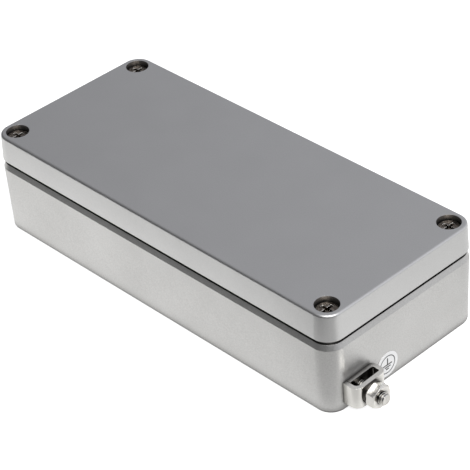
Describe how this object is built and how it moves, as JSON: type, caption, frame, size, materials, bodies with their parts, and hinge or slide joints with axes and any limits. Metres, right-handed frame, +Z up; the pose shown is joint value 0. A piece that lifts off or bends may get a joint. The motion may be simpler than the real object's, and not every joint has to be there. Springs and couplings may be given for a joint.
{
  "type": "aluminium enclosure",
  "caption": "Low oblong die-cast aluminium box with a screwed, gasketed cover, mounting holes outside the seal and an earth terminal on one end wall.",
  "frame": {"origin": "middle of the flat underside, on the surface that the box stands on", "axes": "+X along the length, towards the end wall with the earth terminal; +Y across the width; +Z up"},
  "size_m": [0.1612, 0.064, 0.036],
  "materials": {
    "housing_coat": "die-cast, fine-textured silver-grey powder coat",
    "cover_coat": "die-cast, smooth silver-grey powder coat",
    "gasket_rubber": "matt",
    "plated_stud": "nickel plated",
    "plated_strip": "nickel plated, satin",
    "plated_nut": "nickel plated",
    "washer_steel": "dark spring steel",
    "screw_steel": "stainless, turned",
    "retainer_plastic": "natural",
    "label_film": "printed film"
  },
  "bodies": {
    "housing": {"base_housing": "housing_coat", "earth_stud": "plated_stud", "earth_clamp": "plated_strip", "earth_lock_washer": "washer_steel", "earth_nut": "plated_nut", "earth_label": "label_film", "inner_earth_saddle": "plated_strip", "inner_earth_lock_washer": "washer_steel", "inner_earth_screw": "plated_stud"},
    "cover_assembly": {"cover": "cover_coat", "cover_gasket": "gasket_rubber", "cover_screw_front_right": "screw_steel", "cover_screw_front_left": "screw_steel", "cover_screw_rear_right": "screw_steel", "cover_screw_rear_left": "screw_steel", "screw_retainer_front_right": "retainer_plastic", "screw_retainer_front_left": "retainer_plastic", "screw_retainer_rear_right": "retainer_plastic", "screw_retainer_rear_left": "retainer_plastic"}
  },
  "joints": [
    {"name": "cover_lift", "type": "slide", "parent": "housing", "child": "cover_assembly", "axis": [0, 0, 1], "range_m": [0, 0.05]}
  ]
}
